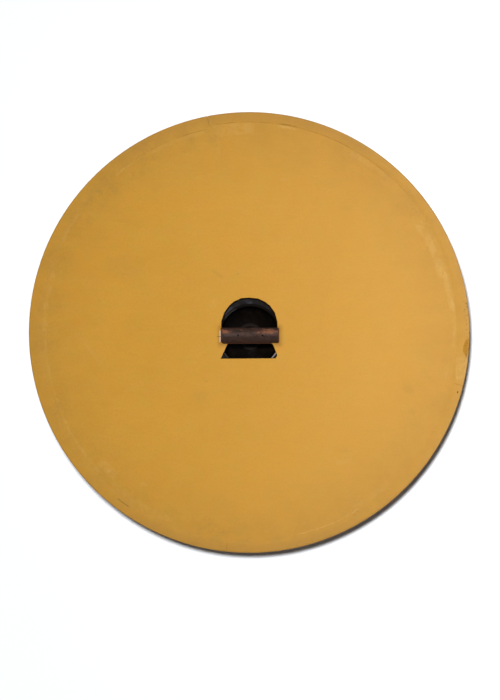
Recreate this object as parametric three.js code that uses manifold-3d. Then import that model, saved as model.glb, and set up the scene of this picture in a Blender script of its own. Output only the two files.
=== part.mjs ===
// Round shield of painted wood with an iron boss, lying boss down with its back up.
// Millimetres, +Z up. The origin is on the ground under the middle of the board, and +Y runs
// from the grip towards the arched half of the hand hole.
import * as THREE from 'three';
import { mergeVertices } from 'three/addons/utils/BufferGeometryUtils.js';
import Module from 'manifold-3d';

const wasm = await Module();
wasm.setup();

// ---------------------------------------------------------------- driving dimensions

const SHIELD_R = 420;
const BOARD_T = 10;
const BOSS_HEIGHT = 66;
const CLEARANCE = 0.3;
const RIM_FACETS = 120;

// A cutter runs this far past the faces that it goes through.
const PAST = 10;

const FRONT_Z = BOSS_HEIGHT;
const BACK_Z = FRONT_Z + BOARD_T;

// Hide strips folded over the rim. Angles are counter-clockwise from +X, in degrees.
const STRIP_T = 1.2;
const STRIP_JOINT = 0.8;
const BOARD_R = SHIELD_R - STRIP_T - CLEARANCE;
const STRIPS = [
  { name: 'rim_strip_left', from: 101, to: 264, startWidth: 25, endWidth: 25 },
  { name: 'rim_strip_lower_right', from: 264, to: 346, startWidth: 23, endWidth: 23 },
  { name: 'rim_strip_upper_right', from: 346, to: 461, startWidth: 25, endWidth: 19 },
];

// Hand hole: an arch above the grip bar and a wedge below it.
const ARCH_X = -0.3;
const ARCH_Y = 13.5;
const ARCH_R = 53.1;
const ARCH_TOP = 66.2;
const WEDGE_TOP = { left: -42.7, right: 44.8, cornerR: 5 };
const WEDGE_SIDE_RIGHT = { x: 51.8, y: -43.5 };
const WEDGE_BOTTOM_LEFT = { x: -54.2, y: -49.6 };
const WEDGE_BOTTOM_RIGHT = { x: 48.6, y: -48.9 };

// Grip bar, left in the board between the two halves of the hole, with a crowned back.
const GRIP_X = 0.5;
const GRIP_Y = -6.5;
const BAR_HALF = 13.4;
const CROWN_HEIGHT = 6;
const CROWN_HALF = BAR_HALF - 0.4;
const CROWN_HALF_LENGTH = 52.8;
const CROWN_END_ROUND = 2.4;

// Leather round the grip: a sleeve through the hole, and a cap over each end of the crown.
const LEATHER_T = 1.8;
const SLEEVE_HALF_LENGTH = 39;
const WRAP_HALF_LENGTH = 55.8;
const SECTION_CORNER = 2.5;

// Tacks through the leather into the bar.
const TACK = { headR: 1.8, headH: 0.9, shankR: 0.8, shankL: 9 };
const TACK_X = [-21.2, 25.4];
const TACK_Y = -5.6;
const TACK_SEAT = 0.1;

// Iron boss: a domed shell with a flat, stepped top and a flange against the board's front.
const BOSS_X = 1.5;
const BOSS_Y = -7.2;
const BOSS_T = 2;
const FLANGE_R = 82.5;
const BOSS_OPENING_R = 57;
const ROOT_FILLET = 6;
const NECK_DEPTH = 12;
const NECK_TAPER = 1;
const DISC_R = 22;
const STEP_HEIGHT = 3;
const STEP_RUN = 2.8;
const BOSS_FACETS = 56;

// Nails through the flange, short enough to stay inside the board.
const NAIL = { headR: 5, headH: 2.6, shankR: 1.5, shankL: 10 };
const NAIL_COUNT = 6;
const NAIL_CIRCLE_R = 76;

// ---------------------------------------------------------------- materials

const ochre = { color: 0xd09a48, roughness: 0.62, metalness: 0 };
const leather = { color: 0x41302a, roughness: 0.6, metalness: 0 };
const blackIron = { color: 0x1d1b1b, roughness: 0.38, metalness: 0.7 };
const darkIron = { color: 0x2a2523, roughness: 0.5, metalness: 0.8 };

// ---------------------------------------------------------------- solids

// A manifold solid from a closed three.js geometry, without the flat triangles at a pole.
function toSolid(geometry) {
  const bare = geometry.clone();
  bare.deleteAttribute('normal');
  bare.deleteAttribute('uv');
  const merged = mergeVertices(bare, 1e-5);
  const corners = merged.index.array;
  const kept = [];
  for (let i = 0; i < corners.length; i += 3) {
    const [a, b, c] = [corners[i], corners[i + 1], corners[i + 2]];
    if (a !== b && b !== c && c !== a) {
      kept.push(a, b, c);
    }
  }
  return new wasm.Manifold(new wasm.Mesh({
    numProp: 3,
    vertProperties: new Float32Array(merged.attributes.position.array),
    triVerts: new Uint32Array(kept),
  }));
}

// A three.js geometry from a manifold solid.
function toGeometry(solid) {
  const mesh = solid.getMesh();
  const geometry = new THREE.BufferGeometry();
  geometry.setAttribute('position', new THREE.BufferAttribute(mesh.vertProperties, 3));
  geometry.setIndex(new THREE.BufferAttribute(mesh.triVerts, 1));
  geometry.computeVertexNormals();
  return geometry;
}

// A profile of (radius, height) points turned about Z.
function turned(profile, facets) {
  return new THREE.LatheGeometry(profile, facets).rotateX(Math.PI / 2);
}

// A flat outline in X and Y, standing from z0 to z1.
function standing(shape, z0, z1, curveSegments = 12) {
  const options = { depth: z1 - z0, bevelEnabled: false, curveSegments };
  return new THREE.ExtrudeGeometry(shape, options).translate(0, 0, z0);
}

// A section in Y and Z, run along X on both sides of the middle of the grip, with rounded ends.
function alongGrip(section, halfLength, endRound) {
  const geometry = new THREE.ExtrudeGeometry(section, {
    depth: 2 * (halfLength - endRound),
    bevelEnabled: endRound > 0,
    bevelThickness: endRound,
    bevelSize: endRound,
    bevelOffset: -endRound,
    bevelSegments: 3,
    curveSegments: 9,
  });
  const turn = new THREE.Matrix4().makeBasis(
    new THREE.Vector3(0, 1, 0),
    new THREE.Vector3(0, 0, 1),
    new THREE.Vector3(1, 0, 0),
  );
  geometry.translate(0, 0, endRound - halfLength);
  return geometry.applyMatrix4(turn).translate(GRIP_X, GRIP_Y, 0);
}

// A round pin or hole along Z.
function pin(x, y, radius, z0, z1) {
  const circle = new THREE.Shape().absarc(x, y, radius, 0, 2 * Math.PI);
  return standing(circle, z0, z1, 6);
}

// The line a given distance to the left of a run of points, with mitred corners.
function offsetLine(points, distance) {
  return points.map((point, i) => {
    const before = points[Math.max(i - 1, 0)];
    const after = points[Math.min(i + 1, points.length - 1)];
    const arriving = (i > 0 ? point.clone().sub(before) : after.clone().sub(point)).normalize();
    const leaving = (i < points.length - 1 ? after.clone().sub(point) : arriving.clone()).normalize();
    const mitre = arriving.clone().add(leaving).normalize();
    const reach = distance / mitre.dot(leaving);
    return new THREE.Vector2(point.x - mitre.y * reach, point.y + mitre.x * reach);
  });
}

// ---------------------------------------------------------------- board

function archOutline() {
  const sill = GRIP_Y + BAR_HALF;
  const low = Math.asin((sill - ARCH_Y) / ARCH_R);
  const high = Math.asin((ARCH_TOP - ARCH_Y) / ARCH_R);
  const outline = new THREE.Shape();
  outline.absarc(ARCH_X, ARCH_Y, ARCH_R, low, high, false);
  outline.absarc(ARCH_X, ARCH_Y, ARCH_R, Math.PI - high, Math.PI - low, false);
  outline.closePath();
  return outline;
}

function wedgeOutline() {
  const top = GRIP_Y - BAR_HALF;
  const { left, right, cornerR } = WEDGE_TOP;
  const outline = new THREE.Shape();
  outline.moveTo(left + cornerR, top);
  outline.quadraticCurveTo(left, top, left - cornerR / 3, top - cornerR);
  outline.lineTo(WEDGE_BOTTOM_LEFT.x, WEDGE_BOTTOM_LEFT.y);
  outline.lineTo(WEDGE_BOTTOM_RIGHT.x, WEDGE_BOTTOM_RIGHT.y);
  outline.lineTo(WEDGE_SIDE_RIGHT.x, WEDGE_SIDE_RIGHT.y);
  outline.lineTo(right + cornerR / 3, top - cornerR);
  outline.quadraticCurveTo(right, top, right - cornerR, top);
  outline.closePath();
  return outline;
}

// The grip's section: square in front, crowned behind.
function gripSection(half, frontZ, crownHeight, corner) {
  const section = new THREE.Shape();
  section.moveTo(-half + corner, frontZ);
  section.lineTo(half - corner, frontZ);
  section.lineTo(half, frontZ + corner);
  section.absellipse(0, BACK_Z, half, crownHeight, 0, Math.PI, false, 0);
  section.lineTo(-half, frontZ + corner);
  section.closePath();
  return section;
}

function boardGeometry() {
  const disc = new THREE.Shape().absarc(0, 0, BOARD_R, 0, 2 * Math.PI);
  const crown = gripSection(CROWN_HALF, FRONT_Z + BOARD_T / 4, CROWN_HEIGHT, SECTION_CORNER);
  let board = toSolid(standing(disc, FRONT_Z, BACK_Z, RIM_FACETS / 2));
  board = board.subtract(toSolid(standing(archOutline(), FRONT_Z - PAST, BACK_Z + PAST)));
  board = board.subtract(toSolid(standing(wedgeOutline(), FRONT_Z - PAST, BACK_Z + PAST, 5)));
  board = board.add(toSolid(alongGrip(crown, CROWN_HALF_LENGTH, CROWN_END_ROUND)));
  for (const x of TACK_X) {
    const holeR = TACK.shankR + CLEARANCE;
    const holeEnd = tackSeatZ() - TACK.shankL - CLEARANCE;
    board = board.subtract(toSolid(pin(x, TACK_Y, holeR, holeEnd, BACK_Z + PAST)));
  }
  for (const place of nailPlaces()) {
    const holeR = NAIL.shankR + CLEARANCE;
    const holeEnd = FRONT_Z - BOSS_T + NAIL.shankL + CLEARANCE;
    board = board.subtract(toSolid(pin(place.x, place.y, holeR, FRONT_Z - PAST, holeEnd)));
  }
  return toGeometry(board);
}

// ---------------------------------------------------------------- rim strips

// One length of hide: the folded section turned round the rim, its inner edges moved to the
// strip's own width, and the ring cut off square at both joints.
function stripGeometry({ from, to, startWidth, endWidth }) {
  const low = FRONT_Z - STRIP_T;
  const high = BACK_Z + STRIP_T;
  const lap = SHIELD_R - startWidth;
  const wall = SHIELD_R - STRIP_T;
  const section = [
    [lap, low],
    [wall, low],
    [SHIELD_R, low + STRIP_T],
    [SHIELD_R, high - STRIP_T],
    [wall, high],
    [lap, high],
    [lap, BACK_Z],
    [wall, BACK_Z],
    [wall, FRONT_Z],
    [lap, FRONT_Z],
    [lap, low],
  ].map(([r, z]) => new THREE.Vector2(r, z));
  const ring = turned(section, RIM_FACETS);

  const places = ring.attributes.position;
  const span = to - from;
  for (let i = 0; i < places.count; i += 1) {
    const [x, y] = [places.getX(i), places.getY(i)];
    const radius = Math.hypot(x, y);
    if (radius < wall - 1) {
      const bearing = THREE.MathUtils.radToDeg(Math.atan2(y, x));
      const past = THREE.MathUtils.euclideanModulo(bearing - from, 360);
      const share = past > (360 + span) / 2 ? 0 : Math.min(past / span, 1);
      const scale = (SHIELD_R - THREE.MathUtils.lerp(startWidth, endWidth, share)) / radius;
      places.setXY(i, x * scale, y * scale);
    }
  }

  const half = STRIP_JOINT / 2 / SHIELD_R;
  const start = THREE.MathUtils.degToRad(from) + half;
  const end = THREE.MathUtils.degToRad(to) - half;
  const reach = SHIELD_R * 1.2;
  const sector = new THREE.Shape();
  sector.moveTo(0, 0);
  sector.lineTo(reach * Math.cos(start), reach * Math.sin(start));
  sector.absarc(0, 0, reach, start, end, false);
  sector.closePath();
  const cutter = standing(sector, low - PAST, high + PAST);
  return toGeometry(toSolid(ring).intersect(toSolid(cutter)));
}

// ---------------------------------------------------------------- grip leather

function wrapGeometry() {
  const sectionAround = (room, corner) =>
    gripSection(BAR_HALF + room, FRONT_Z - room, CROWN_HEIGHT + room, corner);
  const inside = sectionAround(CLEARANCE, CLEARANCE);
  const outside = sectionAround(CLEARANCE + LEATHER_T, SECTION_CORNER);
  let wrap = toSolid(alongGrip(outside, WRAP_HALF_LENGTH, CROWN_END_ROUND));
  wrap = wrap.subtract(toSolid(alongGrip(inside, CROWN_HALF_LENGTH + CLEARANCE, 0)));
  const below = 40;
  for (const side of [-1, 1]) {
    const underCap = new THREE.BoxGeometry(below, below, below);
    const middleX = GRIP_X + side * (SLEEVE_HALF_LENGTH + below / 2);
    underCap.translate(middleX, GRIP_Y, BACK_Z + CLEARANCE - below / 2);
    wrap = wrap.subtract(toSolid(underCap));
  }
  for (const x of TACK_X) {
    wrap = wrap.subtract(toSolid(pin(x, TACK_Y, TACK.shankR + CLEARANCE, BACK_Z, BACK_Z + PAST)));
  }
  return toGeometry(wrap);
}

// ---------------------------------------------------------------- nails and tacks

// A domed head on a round shank. The head points up, or down for facing -1; its seat is at z = 0.
function nailGeometry({ headR, headH, shankR, shankL }, facing) {
  const profile = [
    [0, -shankL],
    [shankR * 0.5, -shankL],
    [shankR, -shankL * 0.8],
    [shankR, 0],
    [headR, 0],
    [headR * 0.96, headH * 0.4],
    [headR * 0.7, headH * 0.8],
    [headR * 0.35, headH],
    [0, headH],
  ].map(([r, z]) => new THREE.Vector2(r, z * facing));
  if (facing < 0) {
    profile.reverse();
  }
  return turned(profile, 12);
}

function tackSeatZ() {
  return BACK_Z + CROWN_HEIGHT + CLEARANCE + LEATHER_T + TACK_SEAT;
}

function nailPlaces() {
  return Array.from({ length: NAIL_COUNT }, (_, i) => {
    const bearing = (2 * Math.PI * i) / NAIL_COUNT;
    return {
      x: BOSS_X + NAIL_CIRCLE_R * Math.cos(bearing),
      y: BOSS_Y + NAIL_CIRCLE_R * Math.sin(bearing),
    };
  });
}

// ---------------------------------------------------------------- boss

// The hollow side of the boss, from the flange's rim in to the middle of the flat top.
function bossInside() {
  const line = [new THREE.Vector2(FLANGE_R, FRONT_Z)];
  const arc = (cx, cz, rx, rz, from, to, steps) => {
    for (let i = 0; i <= steps; i += 1) {
      const angle = THREE.MathUtils.lerp(from, to, i / steps);
      line.push(new THREE.Vector2(cx + rx * Math.cos(angle), cz + rz * Math.sin(angle)));
    }
  };
  const rootR = BOSS_OPENING_R + ROOT_FILLET;
  arc(rootR, FRONT_Z - ROOT_FILLET, ROOT_FILLET, ROOT_FILLET, Math.PI / 2, Math.PI, 4);

  const domeR = BOSS_OPENING_R - NECK_TAPER;
  const domeZ = FRONT_Z - ROOT_FILLET - NECK_DEPTH;
  const stepR = DISC_R + STEP_RUN;
  const stepZ = BOSS_T + STEP_HEIGHT;
  const domeDepth = (domeZ - stepZ) / Math.sqrt(1 - (stepR / domeR) ** 2);
  arc(0, domeZ, domeR, domeDepth, 0, -Math.acos(stepR / domeR), 9);

  line.push(new THREE.Vector2(DISC_R, BOSS_T));
  line.push(new THREE.Vector2(0, BOSS_T));
  return line;
}

function bossGeometry() {
  const inside = bossInside();
  const outside = offsetLine(inside, BOSS_T);
  const shell = turned([...outside.reverse(), ...inside], BOSS_FACETS);
  let boss = toSolid(shell.translate(BOSS_X, BOSS_Y, 0));
  for (const place of nailPlaces()) {
    const holeR = NAIL.shankR + CLEARANCE;
    boss = boss.subtract(toSolid(pin(place.x, place.y, holeR, FRONT_Z - PAST, FRONT_Z + PAST)));
  }
  return toGeometry(boss);
}

// ---------------------------------------------------------------- assembly

const shield = new THREE.Group();

function addPiece(name, geometry, look) {
  const mesh = new THREE.Mesh(geometry, new THREE.MeshStandardMaterial(look));
  mesh.name = name;
  shield.add(mesh);
  return mesh;
}

addPiece('board', boardGeometry(), ochre);
for (const strip of STRIPS) {
  addPiece(strip.name, stripGeometry(strip), ochre);
}
addPiece('grip_wrap', wrapGeometry(), leather);
TACK_X.forEach((x, i) => {
  addPiece(`grip_tack_${i + 1}`, nailGeometry(TACK, 1), darkIron).position.set(x, TACK_Y, tackSeatZ());
});
addPiece('boss', bossGeometry(), blackIron);
nailPlaces().forEach(({ x, y }, i) => {
  addPiece(`boss_nail_${i + 1}`, nailGeometry(NAIL, -1), darkIron).position.set(x, y, FRONT_Z - BOSS_T);
});

export default shield;
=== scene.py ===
"""Round wooden shield, lying on its boss with its back up: every piece with its finish.

Metres, +Z up, in the frame of the solids, with the middle of the board over the origin. The board, the
hide edging, the grip leather, the tacks, the boss and its nails are modelled with bmesh and take the
places of their solids. Bearings are counter-clockwise from +X, seen from the back, in degrees.
"""
from math import acos, atan2, cos, hypot, pi, radians, sin, sqrt

import bmesh
import bpy
from mathutils import Matrix, Vector, noise


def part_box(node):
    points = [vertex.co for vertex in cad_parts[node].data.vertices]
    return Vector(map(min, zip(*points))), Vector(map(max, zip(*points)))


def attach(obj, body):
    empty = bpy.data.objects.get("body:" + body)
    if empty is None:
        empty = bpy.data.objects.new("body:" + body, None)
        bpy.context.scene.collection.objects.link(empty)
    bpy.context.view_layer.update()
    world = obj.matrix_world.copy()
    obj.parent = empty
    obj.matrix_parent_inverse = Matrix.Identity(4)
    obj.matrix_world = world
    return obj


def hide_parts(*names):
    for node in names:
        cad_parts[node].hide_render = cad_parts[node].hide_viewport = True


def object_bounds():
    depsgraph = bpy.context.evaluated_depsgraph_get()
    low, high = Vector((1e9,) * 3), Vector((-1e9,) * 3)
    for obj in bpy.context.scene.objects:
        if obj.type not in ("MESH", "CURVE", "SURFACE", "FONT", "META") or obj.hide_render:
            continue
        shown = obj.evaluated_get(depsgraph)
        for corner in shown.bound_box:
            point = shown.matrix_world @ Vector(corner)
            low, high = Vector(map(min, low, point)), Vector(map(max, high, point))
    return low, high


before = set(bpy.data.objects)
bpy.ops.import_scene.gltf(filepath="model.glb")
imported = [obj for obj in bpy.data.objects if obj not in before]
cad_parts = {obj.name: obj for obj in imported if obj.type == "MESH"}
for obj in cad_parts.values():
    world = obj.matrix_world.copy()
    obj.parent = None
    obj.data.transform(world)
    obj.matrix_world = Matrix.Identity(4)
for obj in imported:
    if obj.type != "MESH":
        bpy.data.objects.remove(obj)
cad_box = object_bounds()

MM = 0.001


# ------------------------------------------------------------------ sizes taken from the frame

def box_of(node):
    low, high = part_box(node)
    return Vector(low), Vector(high)


board_low, board_high = box_of("board")
strip_low = box_of("rim_strip_left")[0]
boss_low, boss_high = box_of("boss")
wrap_low, wrap_high = box_of("grip_wrap")

SHIELD_R = (cad_box[1][0] - cad_box[0][0]) / 2
BOARD_R = (board_high.x - board_low.x) / 2
BOARD_T = 10 * MM
FRONT_Z = board_low.z
BACK_Z = FRONT_Z + BOARD_T
STRIP_T = FRONT_Z - strip_low.z

BOSS_X = (boss_low.x + boss_high.x) / 2
BOSS_Y = (boss_low.y + boss_high.y) / 2
FLANGE_R = (boss_high.x - boss_low.x) / 2

GRIP_X = (wrap_low.x + wrap_high.x) / 2 + 0.8 * MM
GRIP_Y = (wrap_low.y + wrap_high.y) / 2 + 0.3 * MM
WRAP_HALF_LENGTH = (wrap_high.x - wrap_low.x) / 2
WRAP_HALF = (wrap_high.y - wrap_low.y) / 2
LEATHER_T = 1.8 * MM


# ------------------------------------------------------------------ modelling helpers

def smooth(value, low, high):
    """0 below low, 1 above high, and an even S between them."""
    share = min(max((value - low) / (high - low), 0.0), 1.0)
    return share * share * (3 - 2 * share)


def piece_from(bm, name, nodes, sharp=40):
    """A finished object from a bmesh, in place of the named solids."""
    bmesh.ops.remove_doubles(bm, verts=bm.verts, dist=1e-6)
    bmesh.ops.recalc_face_normals(bm, faces=bm.faces)
    mesh = bpy.data.meshes.new(name)
    bm.to_mesh(mesh)
    bm.free()
    return piece_of(mesh, name, nodes, sharp)


def piece_of(mesh, name, nodes, sharp=40):
    """A finished object from a mesh, smooth but for edges sharper than the given angle."""
    piece = bpy.data.objects.new(name, mesh)
    bpy.context.scene.collection.objects.link(piece)
    mesh.polygons.foreach_set("use_smooth", [True] * len(mesh.polygons))
    mesh.set_sharp_from_angle(angle=radians(sharp))
    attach(piece, "root")
    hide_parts(*nodes)
    return piece


def evaluated_mesh(source):
    """The mesh that an object's modifiers or curve settings make."""
    depsgraph = bpy.context.evaluated_depsgraph_get()
    return bpy.data.meshes.new_from_object(source.evaluated_get(depsgraph))


def discard(source):
    """Delete a helper object with its data."""
    data = source.data
    bpy.data.objects.remove(source)
    if isinstance(data, bpy.types.Mesh):
        bpy.data.meshes.remove(data)
    else:
        bpy.data.curves.remove(data)


def wire_profile(bm, points):
    """A run of edges through (radius, height) points, in the plane y = 0."""
    verts = [bm.verts.new((r, 0, z)) for r, z in points]
    edges = [bm.edges.new(pair) for pair in zip(verts, verts[1:])]
    return verts + edges


def arc_points(cx, cz, rx, rz, start, end, steps):
    """Points of an elliptical arc between two angles, in degrees."""
    turns = [radians(start + (end - start) * i / steps) for i in range(steps + 1)]
    return [(cx + rx * cos(t), cz + rz * sin(t)) for t in turns]


def turned(points, steps, middle=(0, 0, 0)):
    """A closed solid of revolution whose profile starts and ends on its upright axis."""
    bm = bmesh.new()
    geom = wire_profile(bm, points)
    bmesh.ops.spin(
        bm, geom=geom, cent=(0, 0, 0), axis=(0, 0, 1), dvec=(0, 0, 0),
        angle=2 * pi, steps=steps, use_merge=True, use_duplicate=False,
    )
    bmesh.ops.remove_doubles(bm, verts=bm.verts, dist=1e-6)
    bmesh.ops.translate(bm, vec=middle, verts=bm.verts)
    return bm


# ------------------------------------------------------------------ board

# Hand hole: an arch over the grip, sawn in short straight cuts, and a wedge below it.
ARCH_X = 0.2 * MM
ARCH_Y = 13.5 * MM
ARCH_R = 53.9 * MM
ARCH_TOP = 66.4 * MM
ARCH_CUTS = 12
ARCH_SLIP = 0.7 * MM
ARCH_SILL = GRIP_Y + 13.4 * MM
WEDGE_SILL = GRIP_Y - 13.4 * MM
WEDGE_SHOULDER = GRIP_Y - 15.0 * MM
WEDGE_LEFT = -43.0 * MM
WEDGE_RIGHT = 46.0 * MM
WEDGE_CORNER = 5 * MM
WEDGE_LOW_LEFT = (-54.2 * MM, -49.9 * MM)
WEDGE_LOW_RIGHT = (49.9 * MM, -49.2 * MM)
WEDGE_CLIP = (53.2 * MM, -43.2 * MM)
RIM_CORNERS = 240
ARRIS = 0.6 * MM
WALL_SLOPE = 3.0 * MM
WEDGE_SLOPE_SHARE = 0.5

# Crown of the grip bar, a little inside the leather.
CROWN_HALF = 10.6 * MM
CROWN_HEIGHT = 5.4 * MM
CROWN_HALF_LENGTH = 51 * MM


def arch_outline():
    """The arched half of the hand hole, as corners of short saw cuts."""
    low = acos((ARCH_SILL - ARCH_Y) / ARCH_R)
    points = []
    for i in range(ARCH_CUTS + 1):
        slip = noise.noise(Vector((i * 0.83, 1.7, 2.5))) if 0 < i < ARCH_CUTS else 0
        turn = pi / 2 - low + 2 * low * (i + 0.3 * slip) / ARCH_CUTS
        x = ARCH_X + (ARCH_R + ARCH_SLIP * slip) * cos(turn)
        y = ARCH_Y + (ARCH_R + ARCH_SLIP * slip) * sin(turn)
        points.append((x, min(y, ARCH_TOP)))
    return points


def wedge_outline():
    """The wedge-shaped half, with rounded upper corners and one clipped corner below."""
    right, left, corner = WEDGE_RIGHT, WEDGE_LEFT, WEDGE_CORNER
    points = arc_points(right - corner, WEDGE_SHOULDER - corner, corner, corner, 15, 90, 6)
    points += [(right - corner - 1 * MM, WEDGE_SILL), (left + corner + 1 * MM, WEDGE_SILL)]
    points += arc_points(left + corner, WEDGE_SHOULDER - corner, corner, corner, 90, 165, 6)
    points += [WEDGE_LOW_LEFT, (0.5 * MM, -49.5 * MM), WEDGE_LOW_RIGHT, WEDGE_CLIP]
    return points


def slope_walls(mesh):
    """The saw was held a little aslant, so the hand hole is tighter at the front of the board."""
    for vert in mesh.vertices:
        x, y, z = vert.co
        reach = hypot(x, y)
        if reach < BOARD_R / 2 and z < FRONT_Z + BOARD_T / 2:
            away = smooth(abs(y - GRIP_Y), 15 * MM, 19 * MM) * (1 if y > GRIP_Y else WEDGE_SLOPE_SHARE)
            vert.co.x -= WALL_SLOPE * away * x / reach
            vert.co.y -= WALL_SLOPE * away * y / reach


def flat_board():
    """The board as a filled outline with two holes, its arrises eased."""
    curve = bpy.data.curves.new("board_outline", "CURVE")
    curve.dimensions = "2D"
    curve.fill_mode = "BOTH"
    curve.extrude = BOARD_T / 2 - ARRIS
    curve.bevel_depth = ARRIS
    curve.bevel_resolution = 2
    curve.offset = -ARRIS
    turns = [2 * pi * i / RIM_CORNERS for i in range(RIM_CORNERS)]
    rim = [(BOARD_R * cos(turn), BOARD_R * sin(turn)) for turn in turns]
    for outline in (rim, arch_outline(), wedge_outline()):
        spline = curve.splines.new("POLY")
        spline.points.add(len(outline) - 1)
        for point, (x, y) in zip(spline.points, outline):
            point.co = (x, y, 0, 1)
        spline.use_cyclic_u = True
    source = bpy.data.objects.new("board_outline", curve)
    bpy.context.scene.collection.objects.link(source)
    mesh = evaluated_mesh(source)
    discard(source)
    mesh.transform(Matrix.Translation((0, 0, FRONT_Z + BOARD_T / 2)))
    slope_walls(mesh)
    return mesh


def grip_crown():
    """The crowned back of the grip bar, sunk into the board."""
    bm = bmesh.new()
    section = arc_points(0, 0, CROWN_HALF, CROWN_HEIGHT, 0, 180, 16)
    verts = [bm.verts.new((-CROWN_HALF_LENGTH, y, BACK_Z + z)) for y, z in section]
    sunk = BACK_Z - BOARD_T / 3
    verts += [bm.verts.new((-CROWN_HALF_LENGTH, y, sunk)) for y in (-CROWN_HALF, CROWN_HALF)]
    face = bm.faces.new(verts)
    grown = bmesh.ops.extrude_face_region(bm, geom=[face])
    moved = [item for item in grown["geom"] if isinstance(item, bmesh.types.BMVert)]
    bmesh.ops.translate(bm, vec=(2 * CROWN_HALF_LENGTH, 0, 0), verts=moved)
    bmesh.ops.translate(bm, vec=(GRIP_X, GRIP_Y, 0), verts=bm.verts)
    bmesh.ops.recalc_face_normals(bm, faces=bm.faces)
    mesh = bpy.data.meshes.new("grip_crown")
    bm.to_mesh(mesh)
    bm.free()
    return mesh


def make_board():
    """The flat board joined to the crown of its grip bar."""
    flat = bpy.data.objects.new("flat_board", flat_board())
    crown = bpy.data.objects.new("grip_crown", grip_crown())
    for source in (flat, crown):
        bpy.context.scene.collection.objects.link(source)
    bm = bmesh.new()
    bm.from_mesh(flat.data)
    bmesh.ops.remove_doubles(bm, verts=bm.verts, dist=1e-6)
    bmesh.ops.recalc_face_normals(bm, faces=bm.faces)
    bm.to_mesh(flat.data)
    bm.free()
    join = flat.modifiers.new("join", "BOOLEAN")
    join.operation = "UNION"
    join.object = crown
    join.solver = "EXACT"
    mesh = evaluated_mesh(flat)
    discard(flat)
    discard(crown)
    mesh.name = "painted_board"
    mesh.materials.clear()
    return piece_of(mesh, "painted_board", ["board"], sharp=12)


# ------------------------------------------------------------------ hide edging

# Each strip: the bearings of its ends, and its width at each end.
STRIPS = {
    "rim_strip_left": (101, 264, 25 * MM, 25 * MM),
    "rim_strip_lower_right": (264, 346, 23 * MM, 23 * MM),
    "rim_strip_upper_right": (346, 461, 25 * MM, 19 * MM),
}
STRIP_JOINT = 0.7 * MM
STRIP_STEP = 0.75
FOLD_R = 2.4 * MM
FOLD_RUN = 5 * MM
FEATHER = 8 * MM
HEM_WOBBLE = 0.7 * MM
HEM_EDGE = 0.15 * MM


def strip_section(width):
    """The section of the hide, as (radius, height) points: its outside, then its inside back again."""
    top = BACK_Z + STRIP_T
    low = FRONT_Z - STRIP_T
    wall = SHIELD_R - STRIP_T
    hem = SHIELD_R - width
    inner_fold = FOLD_R - STRIP_T
    inner_run = FOLD_RUN - STRIP_T
    lap = [hem + step * width / 5 for step in range(2, 4)]
    lap.append(SHIELD_R - FOLD_RUN - 0.8 * MM)
    section = [(hem + FEATHER, top)] + [(r, top) for r in lap]
    section += arc_points(SHIELD_R - FOLD_RUN, top - FOLD_R, FOLD_RUN, FOLD_R, 90, 0, 8)
    section += arc_points(SHIELD_R - FOLD_RUN, low + FOLD_R, FOLD_RUN, FOLD_R, 0, -90, 8)
    section += [(r, low) for r in reversed(lap)] + [(hem + FEATHER, low), (hem, FRONT_Z - HEM_EDGE)]
    section += [(hem, FRONT_Z)]
    section += arc_points(wall - inner_run, FRONT_Z + inner_fold, inner_run, inner_fold, -90, 0, 5)
    section += arc_points(wall - inner_run, BACK_Z - inner_fold, inner_run, inner_fold, 0, 90, 5)
    return section + [(hem, BACK_Z), (hem, BACK_Z + HEM_EDGE)]


def draw_hem(bm, first, span, start_width, end_width):
    """Narrow the strip towards its end and let its hem wander."""
    for vert in bm.verts:
        radius = hypot(vert.co.x, vert.co.y)
        past = (atan2(vert.co.y, vert.co.x) - first + pi / 8) % (2 * pi) - pi / 8
        share = smooth(past / span, 0.0, 0.64)
        width = start_width + (end_width - start_width) * share
        side = 1 if vert.co.z > (FRONT_Z + BACK_Z) / 2 else 5
        ragged = noise.noise(Vector((vert.co.x * 45, vert.co.y * 45, side)))
        ragged += 0.5 * noise.noise(Vector((vert.co.x * 160, vert.co.y * 160, side)))
        reach = smooth(radius, SHIELD_R - FOLD_R, SHIELD_R - start_width)
        drawn = (start_width - width + HEM_WOBBLE * ragged) * reach
        vert.co.x *= 1 + drawn / radius
        vert.co.y *= 1 + drawn / radius


def make_strip(node, start, end, start_width, end_width):
    """A length of hide folded over the rim: its section spun from joint to joint."""
    bm = bmesh.new()
    face = bm.faces.new([bm.verts.new((r, 0, z)) for r, z in strip_section(start_width)])
    half_joint = STRIP_JOINT / 2 / SHIELD_R
    first = radians(start) + half_joint
    span = radians(end - start) - 2 * half_joint
    bmesh.ops.rotate(bm, cent=(0, 0, 0), matrix=Matrix.Rotation(first, 3, "Z"), verts=bm.verts)
    bmesh.ops.spin(
        bm, geom=[face, *face.edges, *face.verts], cent=(0, 0, 0), axis=(0, 0, 1), dvec=(0, 0, 0),
        angle=span, steps=round((end - start) / STRIP_STEP), use_merge=False, use_duplicate=False,
    )
    draw_hem(bm, first, span, start_width, end_width)
    return piece_from(bm, node.replace("rim_", "folded_"), [node], sharp=50)


# ------------------------------------------------------------------ grip leather

CAP_START = 39 * MM
WRAP_COLUMNS = 96
WRAP_ROWS = 72
WRAP_FRONT_CORNER = 2.5 * MM
END_TURN = 3.0 * MM
CAP_TRIM_RIGHT = 1.2 * MM
ROUNDED_LOW_LEFT = 3.4 * MM
ROUNDED_LOW_RIGHT = 1.6 * MM
ROUNDED_UPPER = 1.3 * MM
WRINKLE = 0.35 * MM
WRAP_LINE = BACK_Z + 0.05 * MM


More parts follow.
